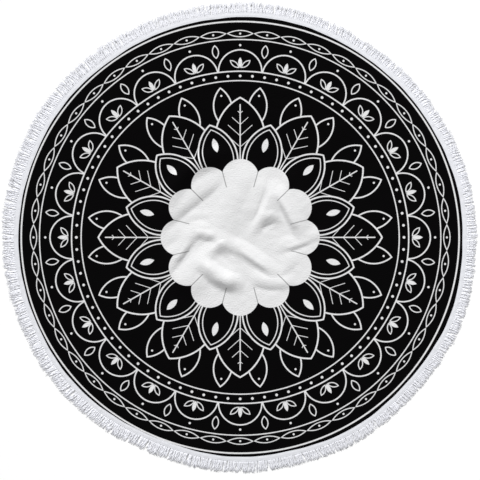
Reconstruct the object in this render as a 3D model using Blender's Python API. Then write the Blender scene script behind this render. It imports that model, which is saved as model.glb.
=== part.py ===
"""A round beach towel lying on a flat surface, seen as it was spread out by hand.

It is three pieces, each a closed solid: the disc of cotton terry with its soft folds, the woven heading
tape sewn down over the disc's edge, and the fringe of cut yarn that the tape holds. Sizes are in metres,
+Z is up, and the origin is the middle of the towel on the surface that it lies on.
"""

import math
from collections import namedtuple
from random import Random

import bmesh
import bpy
from mathutils import Vector

# The towel from its middle outwards. Distances "past the edge" are measured from the line where the
# printed cloth goes under the tape, which is the edge that shows.
SHOWN_RADIUS = 0.6985
CLOTH_THICKNESS = 0.0025
CLOTH_LAP = 0.0080
TAPE_WIDTH = 0.0145
TAPE_THICKNESS = 0.0010
FRINGE_LENGTH = 0.0345
FRINGE_THICKNESS = 0.0025
SEAM_GAP = 0.0003

# The edge isn't a true circle: it swells by each wave's size, once for each of its lobes.
Wave = namedtuple("Wave", "lobes swell first_lobe_deg")
EDGE_WAVES = (
    Wave(lobes=1, swell=0.0026, first_lobe_deg=333),
    Wave(lobes=2, swell=0.0049, first_lobe_deg=171),
    Wave(lobes=3, swell=0.0020, first_lobe_deg=84),
    Wave(lobes=4, swell=0.0011, first_lobe_deg=3),
    Wave(lobes=5, swell=0.0012, first_lobe_deg=2),
    Wave(lobes=6, swell=0.0008, first_lobe_deg=34),
    Wave(lobes=7, swell=0.0007, first_lobe_deg=26),
    Wave(lobes=8, swell=0.0005, first_lobe_deg=39),
    Wave(lobes=9, swell=0.0009, first_lobe_deg=21),
    Wave(lobes=10, swell=0.0009, first_lobe_deg=11),
    Wave(lobes=11, swell=0.0007, first_lobe_deg=10),
)

# The fringe was cut a little longer on one side, and unevenly. Its yarns hang together in wedge-shaped locks.
FRINGE_WAVES = (
    Wave(lobes=1, swell=0.0052, first_lobe_deg=185),
    Wave(lobes=2, swell=0.0010, first_lobe_deg=125),
    Wave(lobes=3, swell=0.0013, first_lobe_deg=14),
)
LOCKS = 160
LOCK_TIP_SHARE = 0.74
LOCK_UNEVEN = 0.0022
LOCK_LEAN = 0.0030
LOCK_SEED = 7

# Each fold is a soft ridge. Its crest is a curve from start to end, drawn towards bend, and the cloth
# comes down to the surface over the reach on the crest's left and on its right, seen from start.
Fold = namedtuple("Fold", "start bend end height left right")
FOLDS = (
    Fold((-0.296, 0.002), (-0.181, 0.108), (-0.014, 0.227), 0.0075, 0.080, 0.036),
    Fold((-0.266, 0.020), (-0.206, 0.266), (-0.004, 0.267), 0.0150, 0.038, 0.052),
    Fold((-0.280, -0.210), (-0.137, 0.103), (-0.070, 0.002), 0.0070, 0.046, 0.025),
    Fold((-0.193, -0.170), (-0.110, -0.034), (-0.010, -0.001), 0.0070, 0.040, 0.033),
    Fold((-0.180, 0.042), (-0.003, -0.012), (0.161, -0.162), 0.0095, 0.037, 0.031),
    Fold((-0.135, -0.044), (-0.085, -0.143), (0.024, -0.147), 0.0210, 0.030, 0.043),
    Fold((0.016, -0.100), (0.093, -0.178), (0.190, -0.123), 0.0065, 0.030, 0.030),
    Fold((0.022, -0.022), (0.095, 0.136), (0.135, 0.025), 0.0085, 0.024, 0.025),
    Fold((0.060, 0.033), (0.079, 0.083), (0.118, 0.196), 0.0125, 0.024, 0.064),
    Fold((0.095, 0.160), (0.149, 0.110), (0.202, -0.034), 0.0110, 0.075, 0.021),
    Fold((0.100, -0.041), (0.180, -0.025), (0.303, 0.033), 0.0040, 0.035, 0.021),
    Fold((0.104, -0.136), (0.141, -0.106), (0.191, -0.046), 0.0030, 0.044, 0.023),
    Fold((0.040, 0.245), (-0.055, 0.064), (-0.078, -0.042), 0.0075, 0.074, 0.080),
    Fold((-0.242, -0.020), (-0.190, -0.001), (-0.160, 0.038), 0.0030, 0.050, 0.022),
    Fold((-0.084, -0.004), (-0.066, -0.019), (-0.018, -0.048), 0.0080, 0.022, 0.032),
    Fold((0.137, 0.243), (0.185, 0.141), (0.225, 0.034), 0.0085, 0.033, 0.044),
    Fold((-0.223, -0.164), (-0.172, -0.113), (-0.082, -0.158), 0.0065, 0.054, 0.066),
    Fold((-0.290, -0.210), (-0.400, -0.330), (-0.540, -0.360), 0.0030, 0.075, 0.065),
    Fold((-0.300, 0.020), (-0.420, -0.030), (-0.610, -0.020), 0.0032, 0.070, 0.080),
    Fold((-0.080, 0.290), (-0.110, 0.430), (-0.210, 0.580), 0.0030, 0.070, 0.060),
    Fold((0.230, 0.230), (0.290, 0.350), (0.440, 0.430), 0.0028, 0.065, 0.075),
    Fold((0.290, 0.010), (0.430, 0.000), (0.600, -0.090), 0.0028, 0.070, 0.065),
    Fold((0.060, -0.220), (0.130, -0.390), (0.110, -0.590), 0.0032, 0.070, 0.075),
)
CREST_STEPS = 20
FOLD_END_SHARE = 0.34

# The cloth's mesh: a small fan of faces in the middle and rings of them round it, close together out to
# where the main folds end. Some zones start by doubling the number of sides.
MIDDLE_SIDES = 10
MIDDLE_RADIUS = 0.018
Zone = namedtuple("Zone", "out_to rings sides_doubled")
ZONES = (
    Zone(out_to=0.056, rings=2, sides_doubled=True),
    Zone(out_to=0.110, rings=3, sides_doubled=True),
    Zone(out_to=0.320, rings=16, sides_doubled=True),
    Zone(out_to=SHOWN_RADIUS + CLOTH_LAP, rings=9, sides_doubled=False),
)
EDGE_SIDES = 80

Finish = namedtuple("Finish", "name colour roughness")
PRINTED_TERRY = Finish("printed_terry", (0.012, 0.012, 0.014), 0.95)
TAPE_COTTON = Finish("tape_cotton", (0.80, 0.80, 0.84), 0.85)
FRINGE_YARN = Finish("fringe_yarn", (0.78, 0.78, 0.82), 0.90)


def wave_at(wave, angle):
    """How far a wave pushes outwards at this angle round the towel."""
    return wave.swell * math.cos(wave.lobes * (angle - math.radians(wave.first_lobe_deg)))


def edge_radius(angle):
    """Distance from the middle to the edge that shows."""
    return SHOWN_RADIUS + sum(wave_at(wave, angle) for wave in EDGE_WAVES)


def angle_of(point):
    return math.atan2(point.y, point.x)


def past_edge(angle, distance):
    """The flat point this far outside the edge that shows."""
    radius = edge_radius(angle) + distance
    return Vector((radius * math.cos(angle), radius * math.sin(angle), 0.0))


def crest_points(fold):
    """Points along a fold's crest, on the quadratic curve that its three points give."""
    start, bend, end = (Vector(point) for point in (fold.start, fold.bend, fold.end))
    shares = [step / CREST_STEPS for step in range(CREST_STEPS + 1)]
    return [start * (1 - s) ** 2 + bend * 2 * s * (1 - s) + end * s * s for s in shares]


def smooth_step(value):
    value = min(max(value, 0.0), 1.0)
    return value * value * (3 - 2 * value)


def fold_rise(fold, crest, point):
    """How high a fold lifts the cloth at a flat point."""
    nearest = None
    for step in range(CREST_STEPS):
        span = crest[step + 1] - crest[step]
        share = min(max((point - crest[step]).dot(span) / span.length_squared, 0.0), 1.0)
        offset = point - (crest[step] + span * share)
        if nearest is None or offset.length < nearest[0]:
            nearest = (offset.length, span.x * offset.y - span.y * offset.x, step + share)
    distance, side, travelled = nearest
    reach = fold.left if side > 0 else fold.right
    if distance >= reach:
        return 0.0
    share_along = travelled / CREST_STEPS
    ends = smooth_step(share_along / FOLD_END_SHARE) * smooth_step((1 - share_along) / FOLD_END_SHARE)
    return fold.height * ends * (1 - (distance / reach) ** 2) ** 2


CRESTS = [(fold, crest_points(fold)) for fold in FOLDS]


def cloth_rise(point):
    """Height of the cloth's underside. Where folds meet they run together without adding up in full."""
    flat = point.to_2d()
    return math.sqrt(sum(fold_rise(fold, crest, flat) ** 2 for fold, crest in CRESTS))


def make_object(name, bm, finish):
    """Turns a bmesh into a named object with its own material."""
    mesh = bpy.data.meshes.new(name)
    bmesh.ops.recalc_face_normals(bm, faces=bm.faces)
    if sum(face.normal.z * face.calc_area() for face in bm.faces) < 0:
        bmesh.ops.reverse_faces(bm, faces=bm.faces)
    bm.to_mesh(mesh)
    bm.free()
    material = bpy.data.materials.new(finish.name)
    material.use_nodes = True
    shader = material.node_tree.nodes["Principled BSDF"]
    shader.inputs["Base Color"].default_value = (*finish.colour, 1.0)
    shader.inputs["Roughness"].default_value = finish.roughness
    shader.inputs["Metallic"].default_value = 0.0
    mesh.materials.append(material)
    made = bpy.data.objects.new(name, mesh)
    bpy.context.scene.collection.objects.link(made)
    return made


def thicken(made, thickness):
    """Gives a sheet its thickness above the surface that was drawn, which becomes its underside."""
    solidify = made.modifiers.new("thickness", "SOLIDIFY")
    solidify.thickness = thickness
    solidify.offset = 1.0
    made.data.shade_smooth()
    made.data.set_sharp_from_angle(angle=math.radians(40))


def grow_ring(bm, rim, place):
    """Extrudes an open rim and puts each new point where place(angle) says. Returns the new rim."""
    grown = bmesh.ops.extrude_edge_only(bm, edges=rim)["geom"]
    for vert in (item for item in grown if isinstance(item, bmesh.types.BMVert)):
        vert.co = place(angle_of(vert.co))
    return [item for item in grown if isinstance(item, bmesh.types.BMEdge) and item.is_boundary]


def make_cloth():
    """The printed terry disc: rings of faces grown from the middle, lifted by the folds."""
    bm = bmesh.new()
    bmesh.ops.create_circle(
        bm, cap_ends=True, cap_tris=True, segments=MIDDLE_SIDES, radius=MIDDLE_RADIUS
    )
    rim = [edge for edge in bm.edges if edge.is_boundary]
    inner = MIDDLE_RADIUS
    for zone in ZONES:
        if zone.sides_doubled:
            bmesh.ops.subdivide_edges(bm, edges=rim, cuts=1)
            rim = [edge for edge in bm.edges if edge.is_boundary]
        for ring in range(1, zone.rings + 1):
            share = (inner + (zone.out_to - inner) * ring / zone.rings) / (SHOWN_RADIUS + CLOTH_LAP)
            rim = grow_ring(bm, rim, lambda angle: past_edge(angle, CLOTH_LAP) * share)
        inner = zone.out_to
    for vert in bm.verts:
        vert.co.z = cloth_rise(vert.co)
    thicken(make_object("towel_cloth", bm, PRINTED_TERRY), CLOTH_THICKNESS)


def make_tape():
    """The heading tape: a flat woven band, half on the cloth's edge and half on the fringe's."""
    base = CLOTH_THICKNESS + SEAM_GAP
    bm = bmesh.new()
    bmesh.ops.create_circle(bm, cap_ends=False, segments=EDGE_SIDES, radius=SHOWN_RADIUS)
    for vert in bm.verts:
        vert.co = past_edge(angle_of(vert.co), 0.0)
    grow_ring(bm, bm.edges[:], lambda angle: past_edge(angle, TAPE_WIDTH))
    bmesh.ops.translate(bm, verts=bm.verts, vec=(0, 0, base))
    thicken(make_object("heading_tape", bm, TAPE_COTTON), TAPE_THICKNESS)


def make_fringe():
    """The fringe: a strip beside the cloth's cut edge, under the tape, and a lock of yarns on each side."""
    chance = Random(LOCK_SEED)
    bm = bmesh.new()
    bmesh.ops.create_circle(bm, cap_ends=False, segments=LOCKS, radius=SHOWN_RADIUS)
    for vert in bm.verts:
        vert.co = past_edge(angle_of(vert.co), CLOTH_LAP + SEAM_GAP)
    roots = grow_ring(bm, bm.edges[:], lambda angle: past_edge(angle, TAPE_WIDTH))
    for root in roots:
        middle = angle_of((root.verts[0].co + root.verts[1].co) / 2)
        length = FRINGE_LENGTH + sum(wave_at(wave, middle) for wave in FRINGE_WAVES)
        length += chance.uniform(-1, 1) * LOCK_UNEVEN
        lean = chance.uniform(-1, 1) * LOCK_LEAN
        tip = bmesh.ops.extrude_edge_only(bm, edges=[root])["geom"]
        for vert in (item for item in tip if isinstance(item, bmesh.types.BMVert)):
            angle = middle + (angle_of(vert.co) - middle + math.pi) % math.tau - math.pi
            angle = middle + (angle - middle) * LOCK_TIP_SHARE + lean / SHOWN_RADIUS
            vert.co = past_edge(angle, TAPE_WIDTH + length)
    thicken(make_object("fringe_comb", bm, FRINGE_YARN), FRINGE_THICKNESS)


for old in list(bpy.data.objects):
    bpy.data.objects.remove(old)

make_cloth()
make_tape()
make_fringe()
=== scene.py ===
import math
from collections import namedtuple
from random import Random

import bmesh
import bpy
import numpy as np
from mathutils import Matrix, Vector, noise


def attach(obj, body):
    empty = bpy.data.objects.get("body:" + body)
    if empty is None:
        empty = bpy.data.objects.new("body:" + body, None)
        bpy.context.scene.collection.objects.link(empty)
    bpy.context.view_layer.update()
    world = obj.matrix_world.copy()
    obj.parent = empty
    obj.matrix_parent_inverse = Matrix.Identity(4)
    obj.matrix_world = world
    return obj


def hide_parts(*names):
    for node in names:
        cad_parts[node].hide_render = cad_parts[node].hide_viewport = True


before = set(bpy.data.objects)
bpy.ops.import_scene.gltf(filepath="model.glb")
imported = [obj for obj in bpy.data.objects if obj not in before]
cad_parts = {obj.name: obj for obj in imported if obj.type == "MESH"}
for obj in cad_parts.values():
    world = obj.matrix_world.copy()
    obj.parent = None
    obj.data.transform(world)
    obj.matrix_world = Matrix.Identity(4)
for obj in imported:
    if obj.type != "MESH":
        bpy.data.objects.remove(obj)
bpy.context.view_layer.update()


# ----------------------------------------------------------------------------------------------------
# The towel's cloth: one disc cut from cotton terry, its face sheared to a short dense pile and printed,
# its back left white. It was spread by hand, so it lies flat with soft folds, most of them in the middle.

SHOWN_RADIUS = 0.6985
CLOTH_LAP = 0.0080
CLOTH_THICKNESS = 0.0025

# The cut isn't a true circle: the edge swells by each wave's size, once for each of its lobes.
Wave = namedtuple("Wave", "lobes swell first_lobe_deg")
EDGE_WAVES = (
    Wave(lobes=1, swell=0.0026, first_lobe_deg=333),
    Wave(lobes=2, swell=0.0049, first_lobe_deg=171),
    Wave(lobes=3, swell=0.0020, first_lobe_deg=84),
    Wave(lobes=4, swell=0.0011, first_lobe_deg=3),
    Wave(lobes=5, swell=0.0012, first_lobe_deg=2),
    Wave(lobes=6, swell=0.0008, first_lobe_deg=34),
    Wave(lobes=7, swell=0.0007, first_lobe_deg=26),
    Wave(lobes=8, swell=0.0005, first_lobe_deg=39),
    Wave(lobes=9, swell=0.0009, first_lobe_deg=21),
    Wave(lobes=10, swell=0.0009, first_lobe_deg=11),
    Wave(lobes=11, swell=0.0007, first_lobe_deg=10),
)

# A fold is a soft ridge whose crest bends from start to end. The cloth comes back down over the reach on
# the crest's left and on its right, seen from start, and the crest itself fades out over a share of its
# length at each end.
Fold = namedtuple("Fold", "start bend end height left right")
FOLDS = (
    Fold((-0.296, 0.002), (-0.181, 0.108), (-0.014, 0.227), 0.0075, 0.080, 0.036),
    Fold((-0.266, 0.020), (-0.206, 0.266), (-0.004, 0.267), 0.0150, 0.038, 0.052),
    Fold((-0.280, -0.210), (-0.137, 0.103), (-0.070, 0.002), 0.0070, 0.046, 0.025),
    Fold((-0.193, -0.170), (-0.110, -0.034), (-0.010, -0.001), 0.0070, 0.040, 0.033),
    Fold((-0.180, 0.042), (-0.003, -0.012), (0.161, -0.162), 0.0095, 0.037, 0.031),
    Fold((-0.135, -0.044), (-0.085, -0.143), (0.024, -0.147), 0.0210, 0.030, 0.043),
    Fold((0.016, -0.100), (0.093, -0.178), (0.190, -0.123), 0.0065, 0.030, 0.030),
    Fold((0.022, -0.022), (0.095, 0.136), (0.135, 0.025), 0.0085, 0.024, 0.025),
    Fold((0.060, 0.033), (0.079, 0.083), (0.118, 0.196), 0.0125, 0.024, 0.064),
    Fold((0.095, 0.160), (0.149, 0.110), (0.202, -0.034), 0.0110, 0.075, 0.021),
    Fold((0.100, -0.041), (0.180, -0.025), (0.303, 0.033), 0.0040, 0.035, 0.021),
    Fold((0.104, -0.136), (0.141, -0.106), (0.191, -0.046), 0.0030, 0.044, 0.023),
    Fold((0.040, 0.245), (-0.055, 0.064), (-0.078, -0.042), 0.0075, 0.074, 0.080),
    Fold((-0.242, -0.020), (-0.190, -0.001), (-0.160, 0.038), 0.0030, 0.050, 0.022),
    Fold((-0.084, -0.004), (-0.066, -0.019), (-0.018, -0.048), 0.0080, 0.022, 0.032),
    Fold((0.137, 0.243), (0.185, 0.141), (0.225, 0.034), 0.0085, 0.033, 0.044),
    Fold((-0.223, -0.164), (-0.172, -0.113), (-0.082, -0.158), 0.0065, 0.054, 0.066),
    Fold((-0.290, -0.210), (-0.400, -0.330), (-0.540, -0.360), 0.0030, 0.075, 0.065),
    Fold((-0.300, 0.020), (-0.420, -0.030), (-0.610, -0.020), 0.0032, 0.070, 0.080),
    Fold((-0.080, 0.290), (-0.110, 0.430), (-0.210, 0.580), 0.0030, 0.070, 0.060),
    Fold((0.230, 0.230), (0.290, 0.350), (0.440, 0.430), 0.0028, 0.065, 0.075),
    Fold((0.290, 0.010), (0.430, 0.000), (0.600, -0.090), 0.0028, 0.070, 0.065),
    Fold((0.060, -0.220), (0.130, -0.390), (0.110, -0.590), 0.0032, 0.070, 0.075),
)
CREST_STEPS = 20
FOLD_END_SHARE = 0.34

# Lower creases, most of them narrower, lie on and beside the folds. One whose height is below nothing is
# a trough.
CREASES = (
    Fold((0.120, 0.132), (0.157, 0.070), (0.183, 0.014), 0.0050, 0.014, 0.014),
    Fold((-0.020, 0.180), (0.045, 0.200), (0.110, 0.178), 0.0032, 0.075, 0.085),
    Fold((0.134, -0.041), (0.189, -0.025), (0.226, -0.010), 0.0016, 0.012, 0.012),
    Fold((0.138, -0.054), (0.193, -0.037), (0.229, -0.022), -0.0012, 0.011, 0.013),
    Fold((-0.213, -0.082), (-0.178, -0.052), (-0.156, -0.008), 0.0030, 0.012, 0.012),
    Fold((-0.195, -0.092), (-0.172, -0.073), (-0.140, -0.016), -0.0025, 0.013, 0.013),
    Fold((-0.006, -0.036), (0.040, -0.074), (0.105, -0.112), 0.0026, 0.012, 0.012),
    Fold((-0.014, -0.048), (0.032, -0.085), (0.098, -0.123), -0.0015, 0.012, 0.014),
    Fold((-0.093, -0.054), (-0.074, -0.017), (-0.036, -0.013), 0.0037, 0.012, 0.027),
    Fold((-0.118, -0.030), (-0.070, -0.118), (0.030, -0.122), 0.0032, 0.030, 0.018),
    Fold((-0.104, -0.113), (-0.056, -0.151), (-0.009, -0.160), 0.0018, 0.016, 0.016),
    Fold((0.028, -0.146), (0.082, -0.184), (0.148, -0.158), -0.0018, 0.012, 0.012),
    Fold((0.066, 0.019), (0.086, 0.037), (0.115, 0.046), -0.0028, 0.012, 0.012),
    Fold((0.025, 0.029), (0.061, 0.146), (0.098, 0.187), 0.0070, 0.042, 0.022),
    Fold((-0.214, 0.041), (-0.155, 0.082), (-0.055, 0.168), -0.0018, 0.012, 0.012),
    Fold((-0.170, 0.062), (-0.127, 0.072), (-0.085, 0.070), 0.0026, 0.020, 0.018),
    Fold((-0.148, 0.006), (-0.114, 0.014), (-0.078, -0.002), 0.0042, 0.020, 0.025),
)

# The cloth is nowhere quite flat: dimples and wrinkles, left by washing, fade out before the edge.
Dimples = namedtuple("Dimples", "width height")
DIMPLES = (Dimples(0.075, 0.0009), Dimples(0.034, 0.0012), Dimples(0.016, 0.0012))
DIMPLES_FADE = (0.56, 0.68)
DIMPLE_MEAN = 0.3
DIMPLE_SWING = 0.5

# The sheet is grown from a small fan in the middle, ring by ring. Each zone starts by doubling the sides.
MIDDLE_SIDES = 24
MIDDLE_RADIUS = 0.010
Zone = namedtuple("Zone", "out_to ring_width")
CLOTH_ZONES = (
    Zone(out_to=0.022, ring_width=0.0040),
    Zone(out_to=0.048, ring_width=0.0040),
    Zone(out_to=0.100, ring_width=0.0040),
    Zone(out_to=SHOWN_RADIUS + CLOTH_LAP, ring_width=0.0055),
)


def swell_of(waves, angle):
    """How far waves take an edge out at an angle."""
    swell = 0
    for wave in waves:
        swell = swell + wave.swell * np.cos(wave.lobes * (angle - math.radians(wave.first_lobe_deg)))
    return swell


def edge_radius(angle):
    """Distance from the middle to where the printed cloth goes under the tape."""
    return SHOWN_RADIUS + swell_of(EDGE_WAVES, angle)


def smooth_step(share):
    share = np.clip(share, 0.0, 1.0)
    return share * share * (3 - 2 * share)


def fold_rise(fold, flat):
    """How high a fold lifts the cloth at each flat point."""
    share = np.linspace(0, 1, CREST_STEPS + 1)[:, None]
    start, bend, end = (np.array(point) for point in (fold.start, fold.bend, fold.end))
    crest = start * (1 - share) ** 2 + bend * 2 * share * (1 - share) + end * share * share
    spans = np.diff(crest, axis=0)
    away = flat[:, None, :] - crest[None, :-1, :]
    along = np.clip((away * spans).sum(2) / (spans * spans).sum(1), 0.0, 1.0)
    offsets = away - spans * along[:, :, None]
    distances = np.hypot(offsets[:, :, 0], offsets[:, :, 1])
    nearest = distances.argmin(1)
    each = np.arange(len(flat))
    offset, span = offsets[each, nearest], spans[nearest]
    on_left = span[:, 0] * offset[:, 1] - span[:, 1] * offset[:, 0] > 0
    reach = np.where(on_left, fold.left, fold.right)
    travelled = (nearest + along[each, nearest]) / CREST_STEPS
    ends = smooth_step(travelled / FOLD_END_SHARE) * smooth_step((1 - travelled) / FOLD_END_SHARE)
    down = np.clip(1 - (distances[each, nearest] / reach) ** 2, 0.0, 1.0) ** 2
    return fold.height * ends * down


def dimple_rise(flat):
    """The low unevenness of the cloth between its folds."""
    radius = np.hypot(flat[:, 0], flat[:, 1])
    fade = 1 - smooth_step((radius - DIMPLES_FADE[0]) / (DIMPLES_FADE[1] - DIMPLES_FADE[0]))
    rise = np.zeros(len(flat))
    for width, height in DIMPLES:
        bumps = np.array([noise.noise((x / width, y / width, width)) for x, y in flat])
        rise += height * (DIMPLE_MEAN + DIMPLE_SWING * bumps)
    return fade * rise


def grow_disc(bm, zones):
    """Grows a disc of faces round a small fan, true round and flat."""
    bmesh.ops.create_circle(
        bm, cap_ends=True, cap_tris=True, segments=MIDDLE_SIDES, radius=MIDDLE_RADIUS
    )
    reached = MIDDLE_RADIUS
    for zone in zones:
        bmesh.ops.subdivide_edges(bm, edges=[edge for edge in bm.edges if edge.is_boundary], cuts=1)
        rim = [edge for edge in bm.edges if edge.is_boundary]
        for vert in {vert for edge in rim for vert in edge.verts}:
            vert.co = vert.co.normalized() * reached
        rings = round((zone.out_to - reached) / zone.ring_width)
        step = (zone.out_to - reached) / rings
        for ring in range(rings):
            grown = bmesh.ops.extrude_edge_only(bm, edges=rim)["geom"]
            rim = [item for item in grown if isinstance(item, bmesh.types.BMEdge) and item.is_boundary]
            verts = [item for item in grown if isinstance(item, bmesh.types.BMVert)]
            wider = (reached + step) / reached
            bmesh.ops.scale(bm, vec=(wider, wider, 1), verts=verts)
            reached += step


def finished_mesh(name, bm):
    """Turns a bmesh into a smooth-shaded object at the origin."""
    mesh = bpy.data.meshes.new(name)
    bm.to_mesh(mesh)
    bm.free()
    mesh.shade_smooth()
    made = bpy.data.objects.new(name, mesh)
    bpy.context.scene.collection.objects.link(made)
    return made


def face_up(bm):
    """Turns an open sheet so that its faces point up."""
    bmesh.ops.recalc_face_normals(bm, faces=bm.faces)
    if sum(face.normal.z * face.calc_area() for face in bm.faces) < 0:
        bmesh.ops.reverse_faces(bm, faces=bm.faces)


bm = bmesh.new()
grow_disc(bm, CLOTH_ZONES)
flat = np.array([vert.co.xy for vert in bm.verts])
unevenness = edge_radius(np.arctan2(flat[:, 1], flat[:, 0])) / SHOWN_RADIUS
flat *= unevenness[:, None]
rise = np.sqrt(sum(fold_rise(fold, flat) ** 2 for fold in FOLDS)) + dimple_rise(flat)
rise = np.maximum(rise + sum(fold_rise(crease, flat) for crease in CREASES), 0.0)
for vert, (x, y), z in zip(bm.verts, flat, rise):
    vert.co = (x, y, z)
face_up(bm)
print_map = bm.loops.layers.uv.new("print_map")
PRINT_SPAN = 1.5
for face in bm.faces:
    for loop in face.loops:
        loop[print_map].uv = loop.vert.co.xy / PRINT_SPAN + Vector((0.5, 0.5))
cloth = finished_mesh("terry_cloth", bm)

pile_depth = cloth.modifiers.new("pile_depth", "SOLIDIFY")
pile_depth.thickness = CLOTH_THICKNESS
pile_depth.offset = 1.0


class Ink:
    """A number, colour or place that runs through a material. Sums of numbers add its Math nodes."""

    def __init__(self, tree, socket=None):
        self.tree, self.socket = tree, socket

    def add(self, kind, settings=(), inputs=(), output=0):
        """Adds a node: its settings first, then the values or links of its sockets."""
        node = self.tree.nodes.new(kind)
        for name, value in dict(settings).items():
            setattr(node, name, value)
        for name, value in dict(inputs).items():
            if isinstance(value, Ink):
                self.tree.links.new(value.socket, node.inputs[name])
            else:
                node.inputs[name].default_value = value
        return Ink(self.tree, node.outputs[output])

    def math(self, operation, *others, clamp=False):
        settings = {"operation": operation, "use_clamp": clamp}
        return self.add("ShaderNodeMath", settings, enumerate((self, *others)))

    def noise(self, scale, detail):
        """Noise, read at this place."""
        inputs = {"Vector": self, "Scale": scale, "Detail": detail}
        return self.add("ShaderNodeTexNoise", {"noise_dimensions": "3D"}, inputs)

    def parts(self):
        """The first two coordinates of this place."""
        split = self.add("ShaderNodeSeparateXYZ", {}, {"Vector": self})
        return split, Ink(self.tree, split.socket.node.outputs["Y"])

    def tint(self, colour):
        """A colour, made lighter or darker by this number."""
        return self.add("ShaderNodeVectorMath", {"operation": "SCALE"}, {0: colour, "Scale": self})

    def bump(self, depth):
        """A surface that this number's rise and fall makes uneven."""
        inputs = {"Strength": 0.6, "Distance": depth, "Height": self}
        return self.add("ShaderNodeBump", {}, inputs)

    def feed(self, name):
        """Links this to a socket of the material's own shader."""
        self.tree.links.new(self.socket, self.tree.nodes["Principled BSDF"].inputs[name])

    def __add__(self, other):
        return self.math("ADD", other)

    def __sub__(self, other):
        return self.math("SUBTRACT", other)

    def __mul__(self, other):
        return self.math("MULTIPLY", other)

    def __rsub__(self, other):
        return self.math("MULTIPLY_ADD", -1.0, other)

    def __truediv__(self, other):
        return self.math("DIVIDE", other)

    def __abs__(self):
        return self.math("ABSOLUTE")

    __radd__, __rmul__ = __add__, __mul__


def length_of(across, out):
    return (across * across + out * out).math("SQRT")


def new_material(name, finish):
    """A material, with the sockets of its shader that finish names set."""
    made = bpy.data.materials.new(name)
    made.use_nodes = True
    for socket, value in finish.items():
        made.node_tree.nodes["Principled BSDF"].inputs[socket].default_value = value
    return made


def place_on(material):
    """Where a point of the piece is, in metres."""
    return Ink(material.node_tree).add("ShaderNodeTexCoord", output="Object")


# The print is a common mandala: rings of petals, leaves, beads and arches round a flower, white on black,
# in lines a few millimetres wide.
PRINT_OFFSET = (-0.0001, -0.0012)
PRINT_STRETCH = (1.0070, 0.9930)
EDGE_BLEED = 0.0011
PILE_RAGGED = 0.0006


def soaked(depth):
    """1 where dye reaches, from how deep inside its outline a point is, with a soft edge of bleed."""
    return depth.math("MULTIPLY_ADD", 1 / EDGE_BLEED, 0.5, clamp=True)


def line(distance, width):
    return soaked(width / 2 - abs(distance))


def between(place, low, high):
    return soaked(place - low) * soaked(high - place)


def inside(outline, inset=0.0):
    """Where dye fills an outline, from the distance outside it, kept this far in from it."""
    return soaked(-inset - outline)


def either(one, other):
    return one.math("MAXIMUM", other)


def leaf(across, out, base, tip, half_width):
    """Distance outside a leaf with two pointed ends, whose sides are arcs."""
    half_length = (tip - base) / 2
    bow = (half_length**2 + half_width**2) / (2 * half_width)
    return length_of(abs(across) + (bow - half_width), out - (base + tip) / 2) - bow


def circle(across, out, at_out, radius):
    """Distance outside a circle on the middle line."""
    return length_of(across, out - at_out) - radius


def bead(across, out, at_out, radius):
    return inside(circle(across, out, at_out, radius))


def laid_over(under, outline, line_width, filling):
    """A petal drawn over what is there: it hides it, and has its own outline and filling."""
    drawn = either(line(outline, line_width), filling)
    cover = soaked(line_width / 2 - outline)
    return under + cover * (drawn - under)


TERRY_FINISH = {
    "Roughness": 0.95,
    "Specular IOR Level": 0.03,
    "Sheen Weight": 0.012,
    "Sheen Roughness": 0.4,
}
terry_face = new_material("printed_terry_face", TERRY_FINISH)
dye = Ink(terry_face.node_tree)
in_metres = dye.add(
    "ShaderNodeMapping",
    {"vector_type": "POINT"},
    {
        "Vector": dye.add("ShaderNodeUVMap", {"uv_map": "print_map"}),
        "Location": (-PRINT_SPAN / 2, -PRINT_SPAN / 2, 0),
        "Scale": (PRINT_SPAN, PRINT_SPAN, 1),
    },
)
ragged = in_metres.noise(scale=420, detail=2)
x, y = in_metres.parts()
x = (x - PRINT_OFFSET[0]) / PRINT_STRETCH[0]
y = (y - PRINT_OFFSET[1]) / PRINT_STRETCH[1]
radius = length_of(x, y) + (ragged - 0.5) * PILE_RAGGED * 2
turn = y.math("ARCTAN2", x) / math.tau


def ring(at_out, width):
    return line(radius - at_out, width)


def repeat(count, half_step=False):
    """Splits the round into equal parts: how far across a part's middle line a point is, and how far out."""
    part = (turn * count + (0.5 if half_step else 0.0)).math("WRAP", 0.5, -0.5)
    angle = part * (math.tau / count)
    return radius * angle.math("SINE"), radius * angle.math("COSINE")


def tilted(across, out, at_out, degrees):
    """The same place seen from a leaf that leans to one side from a point on the middle line."""
    lean = math.radians(degrees)
    up = out - at_out
    return across * math.cos(lean) - up * math.sin(lean), across * math.sin(lean) + up * math.cos(lean)


PETALS = 12
ARCHES = 24
PETAL_LINE = 0.0050
VEIN_STEP = 0.0360
VEIN_SLOPE = 0.9
VEINS_FROM = 0.290
FRONT_INSET = 0.0130

# Narrow leaves at the back, each with a bead, then wide petals with veins over them, then the petals next
# to the flower.
leaf_across, leaf_out = repeat(ARCHES, half_step=True)
narrow = leaf(leaf_across, leaf_out, base=0.352, tip=0.480, half_width=0.029)
white = line(narrow, width=0.0044)
white = either(white, bead(leaf_across, leaf_out, at_out=0.455, radius=0.0032))

petal_across, petal_out = repeat(PETALS)
wide = leaf(petal_across, petal_out, base=0.190, tip=0.446, half_width=0.078)
vein = (petal_out - abs(petal_across) * VEIN_SLOPE).math("WRAP", VEIN_STEP / 2, -VEIN_STEP / 2)
veins = line(vein, width=0.0027) * inside(wide, inset=0.0320) * soaked(petal_out - VEINS_FROM)
midrib = line(petal_across, width=0.0036) * inside(wide, inset=0.0180)
white = laid_over(white, wide, PETAL_LINE, filling=either(veins, midrib))

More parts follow.
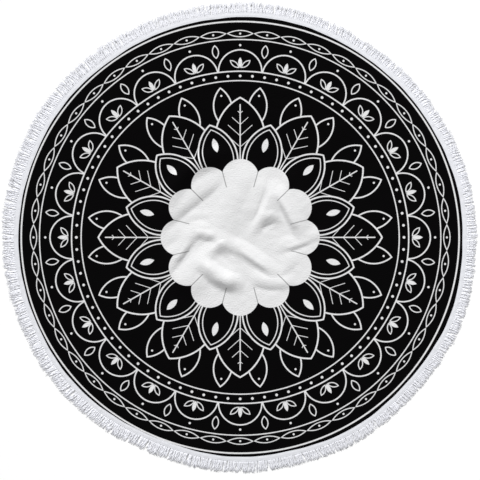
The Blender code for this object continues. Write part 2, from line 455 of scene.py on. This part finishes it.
front_across, front_out = repeat(PETALS, half_step=True)
front = leaf(front_across, front_out, base=0.165, tip=0.370, half_width=0.060)
inner_line = line(front + FRONT_INSET, width=0.0030)
heart = leaf(front_across, front_out, base=0.280, tip=0.326, half_width=0.0095)
white = laid_over(white, front, PETAL_LINE, filling=either(inner_line, inside(heart)))

# The flower in the middle: plain white, with a short thin line, not quite dark, between its petals.
FLOWER_ROUND = 0.212
PETAL_GAP_DARKNESS = 0.55
scallop = circle(petal_across, petal_out, at_out=0.192, radius=0.058)
flower = scallop.math("MINIMUM", radius - FLOWER_ROUND)
petal_gaps = line(front_across, width=0.0030) * between(front_out, low=0.165, high=0.222)
white = white + inside(flower) * (1 - petal_gaps * PETAL_GAP_DARKNESS - white)

# A string of beads between two lines, then the row of arches with a sprig in each and drops between them.
BEADS = 84
ARCH_FOOT = 0.530
SPRIG_FOOT = 0.538
SPRIG_LEAN_DEG = 50
bead_across, bead_out = repeat(BEADS)
white = either(white, ring(at_out=0.500, width=0.0036))
white = either(white, bead(bead_across, bead_out, at_out=0.5150, radius=0.0042))
white = either(white, ring(at_out=ARCH_FOOT, width=0.0040))

arch_across, arch_out = repeat(ARCHES)
row = line(circle(arch_across, arch_out, at_out=ARCH_FOOT, radius=0.0680), width=0.0042)
row = either(row, inside(leaf(arch_across, arch_out, base=0.540, tip=0.574, half_width=0.0062)))
for side in (-1, 1):
    lean_across, lean_out = tilted(arch_across, arch_out, SPRIG_FOOT, SPRIG_LEAN_DEG * side)
    leaning = leaf(lean_across, lean_out, base=0.006, tip=0.040, half_width=0.0066)
    row = either(row, line(leaning, width=0.0030))
drop = leaf(leaf_across, leaf_out, base=0.576, tip=0.616, half_width=0.0095)
row = either(row, line(drop, width=0.0032))
row = either(row, bead(arch_across, arch_out, at_out=0.6130, radius=0.0036))
white = either(white, row * soaked(radius - ARCH_FOOT))

# A chain of lens-shaped leaves, and the plain white line round the edge.
LINKS = 48
CHAIN_RADIUS = 0.6500
link_across, link_out = repeat(LINKS)
link = leaf(link_out - CHAIN_RADIUS, link_across, base=-0.0395, tip=0.0395, half_width=0.0100)
white = either(white, ring(at_out=0.631, width=0.0034))
white = either(white, line(link, width=0.0029))
white = either(white, bead(link_across, link_out, at_out=CHAIN_RADIUS, radius=0.0032))
white = either(white, ring(at_out=0.6886, width=0.0049))

# Terry: each loop stands a little differently, so the white pile is mottled.
PILE_WHITE = (0.750, 0.751, 0.756)
PILE_BLACK = (0.0020, 0.0018, 0.0020)
MOTTLE = 0.05
LOOP_DEPTH = 0.0011

# A Mix node has several sockets of each name, so those for colours go by number.
MIX_SHARE, MIX_FROM, MIX_TO, MIX_RESULT = 0, 6, 7, 2


def terry(place, white):
    """Finishes a material as cotton terry, dyed black where it isn't white."""
    grain = place.noise(scale=330, detail=3)
    patch = place.noise(scale=26, detail=3)
    tone = 1 + (grain - 0.5) * (MOTTLE * 2) + (patch - 0.5) * MOTTLE
    colours = {MIX_SHARE: white, MIX_FROM: (*PILE_BLACK, 1), MIX_TO: tone.tint(PILE_WHITE)}
    place.add("ShaderNodeMix", {"data_type": "RGBA"}, colours, output=MIX_RESULT).feed("Base Color")
    loops = place.noise(scale=560, detail=2)
    tufts = place.noise(scale=220, detail=1)
    (loops * 0.5 + grain * 0.6 + tufts * 2.4).bump(LOOP_DEPTH).feed("Normal")


terry_back = new_material("white_terry_back", TERRY_FINISH)
terry(in_metres, white)
terry(place_on(terry_back), 1.0)

cloth.data.materials.append(terry_face)
cloth.data.materials.append(terry_back)
pile_depth.material_offset = 1
pile_depth.material_offset_rim = 1

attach(cloth, "root")
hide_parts("towel_cloth")


# ----------------------------------------------------------------------------------------------------
# The heading tape: a ribbed cotton tape laid over the raw edge of the cloth and over the fringe's head.
# Two rows of lock stitches, one near each edge, go through it and hold all three together.

TAPE_UNDERSIDE = 0.0028
TAPE_WIDTH = 0.0145
TAPE_FOOT = 0.0003
TAPE_STEPS = 760

# Its section, from the edge on the cloth outwards: a firm selvedge, a groove where the stitches pull it
# down, a soft middle, and the same again. It slopes down from the cloth to the thinner fringe.
Section = namedtuple("Section", "across rise")
INNER_GROOVE = Section(0.0021, 0.0010)
OUTER_GROOVE = Section(0.0124, 0.0005)
TAPE_SECTION = (
    Section(0.0000, 0.0000),
    Section(0.0000, 0.0010),
    Section(0.0005, 0.0015),
    Section(0.0013, 0.0015),
    INNER_GROOVE,
    Section(0.0030, 0.0012),
    Section(0.0050, 0.0013),
    Section(0.0073, 0.0012),
    Section(0.0095, 0.0010),
    Section(0.0115, 0.0007),
    OUTER_GROOVE,
    Section(0.0132, 0.0009),
    Section(0.0140, 0.0007),
    Section(TAPE_WIDTH, TAPE_FOOT),
    Section(TAPE_WIDTH, 0.0000),
)

# Its edges stray a little from the true line, and all but its foot puckers between the stitches.
Drift = namedtuple("Drift", "lobes size seed")
INNER_STRAY = Drift(lobes=(9, 14, 23, 37, 52), size=0.00045, seed=3)
OUTER_STRAY = Drift(lobes=(9, 14, 23, 37, 52), size=0.00045, seed=4)
PUCKER = Drift(lobes=(71, 97, 131, 167, 203, 251, 307), size=0.00028, seed=5)


def drift(angle, kind):
    """Chance unevenness round the towel, made of waves that each go round a whole number of times."""
    chance = Random(kind.seed)
    waves = [np.cos(lobe * angle + chance.uniform(0, math.tau)) for lobe in kind.lobes]
    return sum(waves) * (kind.size / math.sqrt(len(kind.lobes) / 2))


def tape_radius(angle, across):
    """How far out a point of the tape is, from how far across the tape it is."""
    share = across / TAPE_WIDTH
    stray = drift(angle, INNER_STRAY) * (1 - share) + drift(angle, OUTER_STRAY) * share
    return edge_radius(angle) + across + stray


def tape_pucker(angle, across):
    return drift(angle, PUCKER) * np.sin(across / TAPE_WIDTH * math.pi)


def points_of(mesh):
    points = np.empty(len(mesh.vertices) * 3, np.float32)
    mesh.vertices.foreach_get("co", points)
    return points.reshape(-1, 3).astype(float)


def round_places(mesh):
    """A ring's points: the angle of each, how far outside the cloth's true radius it is, and how high."""
    points = points_of(mesh)
    angle = np.arctan2(points[:, 1], points[:, 0])
    return angle, np.hypot(points[:, 0], points[:, 1]) - SHOWN_RADIUS, points[:, 2]


def set_round(mesh, angle, out, sideways, height):
    """Puts a mesh's points at their angles round the towel, this far out, to the side and up."""
    x = out * np.cos(angle) - sideways * np.sin(angle)
    y = out * np.sin(angle) + sideways * np.cos(angle)
    placed = np.stack([x, y, height], axis=-1)
    mesh.vertices.foreach_set("co", placed.astype(np.float32).ravel())
    mesh.update()


def spun_ring(name, section, underside, steps):
    """A closed band round the towel: the section, swept once round on the towel's true radius."""
    bm = bmesh.new()
    verts = [bm.verts.new((SHOWN_RADIUS + across, 0, underside + rise)) for across, rise in section]
    edges = [bm.edges.new((one, other)) for one, other in zip(verts, verts[1:] + verts[:1])]
    bmesh.ops.spin(
        bm, geom=verts + edges, axis=(0, 0, 1), cent=(0, 0, 0), angle=math.tau, steps=steps, use_merge=True
    )
    bmesh.ops.recalc_face_normals(bm, faces=bm.faces)
    return finished_mesh(name, bm)


tape = spun_ring("heading_tape_woven", TAPE_SECTION, TAPE_UNDERSIDE, TAPE_STEPS)
angle, across, height = round_places(tape.data)
above_foot = height > TAPE_UNDERSIDE + TAPE_FOOT
height = height + tape_pucker(angle, across) * above_foot
set_round(tape.data, angle, tape_radius(angle, across), 0.0, height)

TAPE_WHITE = (0.775, 0.785, 0.825)
RIBS_ROUND = 3500
RIB_PAINTED_SHADE = 0.012
WORN_SHADE = 0.06
RIB_DEPTH = 0.0003
tape_weave = new_material("ribbed_cotton_tape", {"Roughness": 0.85, "Specular IOR Level": 0.15})
spot = place_on(tape_weave)
spot_x, spot_y = spot.parts()
rib = (spot_y.math("ARCTAN2", spot_x) * RIBS_ROUND).math("SINE")
thread = spot.noise(scale=1500, detail=1)
worn = spot.noise(scale=60, detail=3)
# The tone also rises and falls with the ribs: painted shade in the hollows between them, painted light on
# their tops.
tone = 1 + rib * RIB_PAINTED_SHADE + (worn - 0.5) * WORN_SHADE
tone.tint(TAPE_WHITE).feed("Base Color")
(rib * 0.5 + thread * 0.6).bump(RIB_DEPTH).feed("Normal")
tape.data.materials.append(tape_weave)
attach(tape, "root")
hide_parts("heading_tape")

# The stitches lie in the tape's two grooves, each a little askew.
STITCH_ROWS = (INNER_GROOVE, OUTER_GROOVE)
STITCH_PROUD = 0.0001
STITCHES_ROUND = 1220
STITCH_SIZE = (0.00030, 0.00145, 0.00026)
STITCH_SKEW_DEG = 5


def copies_of(name, bm, count):
    """One mesh that holds many copies of a small shape, and each copy's points, axis by axis."""
    one = finished_mesh(name, bm)
    row = one.modifiers.new("row", "ARRAY")
    row.count = count
    row.use_relative_offset = False
    row.offset_v = 1.0
    graph = bpy.context.evaluated_depsgraph_get()
    many = bpy.data.meshes.new_from_object(one.evaluated_get(graph))
    many.name = name
    one.modifiers.clear()
    one.data = many
    return one, np.moveaxis(points_of(many).reshape(count, -1, 3), 2, 0)


bm = bmesh.new()
bmesh.ops.create_uvsphere(bm, u_segments=6, v_segments=4, radius=1)
bmesh.ops.rotate(bm, cent=(0, 0, 0), matrix=Matrix.Rotation(math.pi / 2, 3, "X"), verts=bm.verts)
bmesh.ops.scale(bm, vec=STITCH_SIZE, verts=bm.verts)
stitches, (outwards, lengthwise, up) = copies_of("lock_stitches", bm, STITCHES_ROUND * len(STITCH_ROWS))
across, groove = (np.repeat(sizes, STITCHES_ROUND)[:, None] for sizes in zip(*STITCH_ROWS))
angle = np.tile(np.arange(STITCHES_ROUND) * (math.tau / STITCHES_ROUND), len(STITCH_ROWS))[:, None]
out = tape_radius(angle, across) + outwards + lengthwise * math.tan(math.radians(STITCH_SKEW_DEG))
height = TAPE_UNDERSIDE + groove + STITCH_PROUD + tape_pucker(angle, across) + up
set_round(stitches.data, angle, out, lengthwise, height)
sewing_thread = new_material("sewing_thread", {"Base Color": (0.80, 0.81, 0.84, 1), "Roughness": 0.6})
stitches.data.materials.append(sewing_thread)
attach(stitches, "root")


# ----------------------------------------------------------------------------------------------------
# The fringe: soft cotton cords, each of two yarns twisted together, held by a narrow woven head under the
# tape and cut by hand, longer on one side. Flatter single yarns lie under them, and loose fibres stand out
# at the cut ends. All lean this way and that, so the shaded yarns below show through in narrow gaps.

FRINGE_LENGTH = 0.0345
FRINGE_WAVES = (
    Wave(lobes=1, swell=0.0052, first_lobe_deg=185),
    Wave(lobes=2, swell=0.0010, first_lobe_deg=125),
    Wave(lobes=3, swell=0.0013, first_lobe_deg=14),
)

HEAD_FROM = 0.0083
HEAD_UNDERSIDE = 0.0001
HEAD_STEPS = 400
HEAD_SECTION = (
    Section(HEAD_FROM, 0.0004),
    Section(HEAD_FROM + 0.0006, 0.0000),
    Section(TAPE_WIDTH - 0.0016, 0.0000),
    Section(TAPE_WIDTH - 0.0010, 0.0006),
    Section(TAPE_WIDTH - 0.0010, 0.0018),
    Section(TAPE_WIDTH - 0.0016, 0.0024),
    Section(HEAD_FROM + 0.0006, 0.0024),
    Section(HEAD_FROM, 0.0020),
)
head = spun_ring("fringe_head", HEAD_SECTION, HEAD_UNDERSIDE, HEAD_STEPS)
angle, across, height = round_places(head.data)
set_round(head.data, angle, edge_radius(angle) + across, 0.0, height)

PLACES_ROUND = 850
YARN_START = 0.0105

# A kind of yarn: the places it lies at, and how many lie in each; the share of the way out where it starts;
# how much longer than the fringe it is, and how uneven; its mesh, section and twist; its height at the root
# and how far it leans.
Yarns = namedtuple(
    "Yarns",
    "name every in_place first start longer uneven spans sides "
    "thickness flatness spread turns root lean seed",
)
CORD = dict(
    every=2,
    in_place=2,
    start=0.0,
    longer=-0.0022,
    uneven=0.0015,
    spans=13,
    sides=5,
    thickness=0.0028,
    flatness=0.55,
    spread=0.00118,
    turns=1.9,
    root=0.00185,
    lean=0.060,
)
FRINGE_YARNS = (
    Yarns(name="fringe_cords_1", first=0.0, seed=11, **CORD),
    Yarns(name="fringe_cords_2", first=1.0, seed=12, **CORD),
    Yarns(
        name="fringe_underlay",
        every=1,
        in_place=1,
        first=0.5,
        start=0.0,
        longer=-0.0085,
        uneven=0.0030,
        spans=4,
        sides=5,
        thickness=0.0046,
        flatness=0.30,
        spread=0.0,
        turns=0.0,
        root=0.00120,
        lean=0.040,
        seed=13,
    ),
    Yarns(
        name="fringe_fluff",
        every=1,
        in_place=4,
        first=0.25,
        start=0.60,
        longer=0.0002,
        uneven=0.0014,
        spans=2,
        sides=3,
        thickness=0.0007,
        flatness=0.8,
        spread=0.00150,
        turns=0.5,
        root=0.00190,
        lean=0.120,
        seed=14,
    ),
)

# Locks of yarns lean together and differ in length round the towel, and each place differs from the next.
WIDE_LEAN = Drift(lobes=(5, 8, 13, 19, 27, 38), size=0.050, seed=21)
LOCK_LEAN = Drift(lobes=(61, 83, 109, 149), size=0.036, seed=22)
LOCK_LENGTH = Drift(lobes=(17, 29, 41, 57, 73), size=0.0011, seed=23)
STEP_UNEVEN = 0.24
ASTRAY_BEYOND = 2.0
ASTRAY_LEAN = 0.17
PLACE_CURL = 0.09
YARN_CURL = 0.05
TURNS_UNEVEN = 0.12
FIRST_TURN_UNEVEN = 2.0
THICKNESS_UNEVEN = 0.07
MIDDLE_LIFT = 0.0004
TIP_STRAY = 0.0009

# Along a cord: it comes out from under the tape, puffs up, settles on the floor, and ends worn and open.
TAPE_END_SHARE = 0.10
PUFF_PATH = ((TAPE_END_SHARE, 0.18, 0.55), (0.0, 0.0016, 0.0))
SETTLE_SHARE = 0.35
WORN_FROM_SHARE = 0.72
WORN_AWAY = 0.50
TIP_OPENING = 0.35
TWIST_FLATNESS = 0.6
MAP_END = 0.05


def yarn_shape(kind):
    """One straight yarn, one long and one thick, with a map of its side and length."""
    bm = bmesh.new()
    bmesh.ops.create_cone(
        bm, cap_ends=True, cap_tris=False, segments=kind.sides, radius1=1, radius2=1, depth=1
    )
    bmesh.ops.translate(bm, verts=bm.verts, vec=(0, 0, 0.5))
    lengthwise = [edge for edge in bm.edges if abs(edge.verts[0].co.z - edge.verts[1].co.z) > 0.5]
    bmesh.ops.subdivide_edges(bm, edges=lengthwise, cuts=kind.spans - 1)
    yarn_map = bm.loops.layers.uv.new("yarn_map")
    for face in bm.faces:
        middle = face.calc_center_median()
        towards = math.atan2(middle.y, middle.x)
        for loop in face.loops:
            side = math.atan2(loop.vert.co.y, loop.vert.co.x) - towards
            side = (side + math.pi) % math.tau - math.pi + towards
            loop[yarn_map].uv = (side / math.tau, MAP_END + (1 - 2 * MAP_END) * loop.vert.co.z)
    return bm


def lay_yarns(kind):
    """All the yarns of one kind as one mesh, each bent along its own path from the head to its cut end."""
    places = PLACES_ROUND // kind.every
    count = places * kind.in_place
    yarns, (across, up, along) = copies_of(kind.name, yarn_shape(kind), count)
    chance = np.random.default_rng(kind.seed)

    def one_each(spread):
        return chance.normal(0, spread, (count, 1))

    def one_a_place(spread):
        return np.repeat(chance.normal(0, spread, places), kind.in_place)[:, None]

    step = np.repeat(np.arange(places) * kind.every + kind.first, kind.in_place)[:, None]
    angle = (step + one_a_place(STEP_UNEVEN)) * (math.tau / PLACES_ROUND)
    lean = drift(angle, WIDE_LEAN) + drift(angle, LOCK_LEAN)
    astray = one_a_place(1.0)
    lean = lean + one_a_place(kind.lean) + ASTRAY_LEAN * np.sign(astray) * (np.abs(astray) > ASTRAY_BEYOND)
    curl = one_a_place(PLACE_CURL) + one_each(YARN_CURL)
    along = kind.start + (1 - kind.start) * along
    length = TAPE_WIDTH - YARN_START + FRINGE_LENGTH + kind.longer
    length = length + swell_of(FRINGE_WAVES, angle) + drift(angle, LOCK_LENGTH)
    length = length + one_a_place(kind.uneven) + one_each(kind.uneven / 2)
    half_turn = np.tile(np.arange(kind.in_place) * (math.tau / kind.in_place), places)[:, None]
    turns = kind.turns * (1 + one_a_place(TURNS_UNEVEN))
    twist = one_a_place(FIRST_TURN_UNEVEN) + half_turn
    twist = twist + math.tau * turns * np.maximum(along - TAPE_END_SHARE, 0)
    spread = kind.spread * (1 + TIP_OPENING * along**3)
    worn = 1 - WORN_AWAY * smooth_step((along - WORN_FROM_SHARE) / (1 - WORN_FROM_SHARE))
    thick = kind.thickness / 2 * (1 + one_each(THICKNESS_UNEVEN)) * worn
    settled = smooth_step((along - TAPE_END_SHARE) / SETTLE_SHARE)
    lowest = thick * kind.flatness + spread * TWIST_FLATNESS * worn
    height = kind.root * (1 - settled) + lowest * settled
    height = height + spread * TWIST_FLATNESS * worn * np.sin(twist) * settled
    height = height + np.interp(along, *PUFF_PATH)
    height = height + np.abs(one_a_place(MIDDLE_LIFT)) * np.sin(math.pi * along)
    out = edge_radius(angle) + YARN_START + length * along
    sideways = spread * np.cos(twist) + length * (lean * along + curl * along**2)
    sideways = sideways + one_each(TIP_STRAY) * along**3 + thick * across
    set_round(yarns.data, angle, out, sideways, height + thick * kind.flatness * up)
    return yarns


# Bleached cotton, a little blue, with two plies twisted round each other and each yarn its own shade.
# Its tone also rises and falls with the plies: painted shade in the grooves between them, painted light on
# their crowns.
YARN_WHITE = (0.893, 0.900, 0.945)
YARN_SHADE = 0.06
PLY_PAINTED_SHADE = 0.015
FLUFF_SHADE = 0.08
PLIES = 2
PLY_TURNS = 5.0
PLY_DEPTH = 0.0004
yarn_cotton = new_material("soft_cotton_yarn", {"Roughness": 0.9, "Specular IOR Level": 0.1})
yarn = Ink(yarn_cotton.node_tree)
side, number = yarn.add("ShaderNodeUVMap", {"uv_map": "yarn_map"}).parts()
which = number.math("FLOOR")
shade = yarn.add("ShaderNodeTexWhiteNoise", {"noise_dimensions": "1D"}, {"W": which})
ply = ((side + (number - which) * PLY_TURNS) * (math.tau * PLIES)).math("SINE")
fluff = place_on(yarn_cotton).noise(scale=900, detail=2)
# The ply term is painted shade in the grooves between the plies and painted light on their crowns, following
# the bump.
tone = (1 - YARN_SHADE / 2) + shade * YARN_SHADE + ply * PLY_PAINTED_SHADE + (fluff - 0.5) * FLUFF_SHADE
tone.tint(YARN_WHITE).feed("Base Color")
(ply * 0.5 + fluff * 0.8).bump(PLY_DEPTH).feed("Normal")

fringe = [head] + [lay_yarns(kind) for kind in FRINGE_YARNS]
for piece in fringe:
    piece.data.materials.append(yarn_cotton)
    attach(piece, "root")
    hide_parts("fringe_comb")


# ----------------------------------------------------------------------------------------------------
# Where it lies: a plain pale floor, with the soft high light of a studio from the top of the picture,
# and a long lens straight above.

FLOOR_SIZE = 12.0
FLOOR_DROP = 0.0002
bm = bmesh.new()
bmesh.ops.create_grid(bm, x_segments=1, y_segments=1, size=FLOOR_SIZE / 2)
bmesh.ops.translate(bm, verts=bm.verts, vec=(0, 0, -FLOOR_DROP))
floor = finished_mesh("floor", bm)
floor_paint = new_material(
    "floor_paint", {"Base Color": (0.98, 0.98, 0.98, 1), "Roughness": 0.9, "Specular IOR Level": 0.1}
)
floor.data.materials.append(floor_paint)

KEY_FROM_DEG = 109
KEY_HEIGHT_DEG = 35
KEY_SOFT_DEG = 16
KEY_ENERGY = 3.14
key = bpy.data.objects.new("key_light", bpy.data.lights.new("key_light", "SUN"))
key.data.energy = KEY_ENERGY
key.data.angle = math.radians(KEY_SOFT_DEG)
key.rotation_euler = (0, math.radians(90 - KEY_HEIGHT_DEG), math.radians(KEY_FROM_DEG))
bpy.context.scene.collection.objects.link(key)

# A weaker softbox beyond the upper right corner, so the light falls off a little towards the lower left.
SIDE_BOX_AT = (2.2, 1.6, 2.4)
SIDE_BOX_SIZE = 1.0
SIDE_BOX_WATTS = 15
side_box = bpy.data.objects.new("side_box", bpy.data.lights.new("side_box", "AREA"))
side_box.data.energy = SIDE_BOX_WATTS
side_box.data.size = SIDE_BOX_SIZE
side_box.location = SIDE_BOX_AT
side_box.rotation_euler = Vector(SIDE_BOX_AT).to_track_quat("Z", "Y").to_euler()
bpy.context.scene.collection.objects.link(side_box)

STUDIO_STRENGTH = 0.41
world = bpy.data.worlds.new("studio")
world.use_nodes = True
world.node_tree.nodes["Background"].inputs["Color"].default_value = (1, 1, 1, 1)
world.node_tree.nodes["Background"].inputs["Strength"].default_value = STUDIO_STRENGTH
bpy.context.scene.world = world
bpy.context.scene.view_settings.view_transform = "Standard"

IMAGE_PIXELS = 480
METRES_PER_PIXEL = 0.003168
TOWEL_MIDDLE_PIXEL = (240.2, 237.0)
CAMERA_HEIGHT = 8.0
SENSOR_MM = 36
camera = bpy.data.objects.new("camera", bpy.data.cameras.new("camera"))
camera.data.sensor_width = SENSOR_MM
camera.data.lens = SENSOR_MM * CAMERA_HEIGHT / (IMAGE_PIXELS * METRES_PER_PIXEL)
camera.location = (
    (IMAGE_PIXELS / 2 - TOWEL_MIDDLE_PIXEL[0]) * METRES_PER_PIXEL,
    (TOWEL_MIDDLE_PIXEL[1] - IMAGE_PIXELS / 2) * METRES_PER_PIXEL,
    CAMERA_HEIGHT,
)
bpy.context.scene.collection.objects.link(camera)
bpy.context.scene.camera = camera
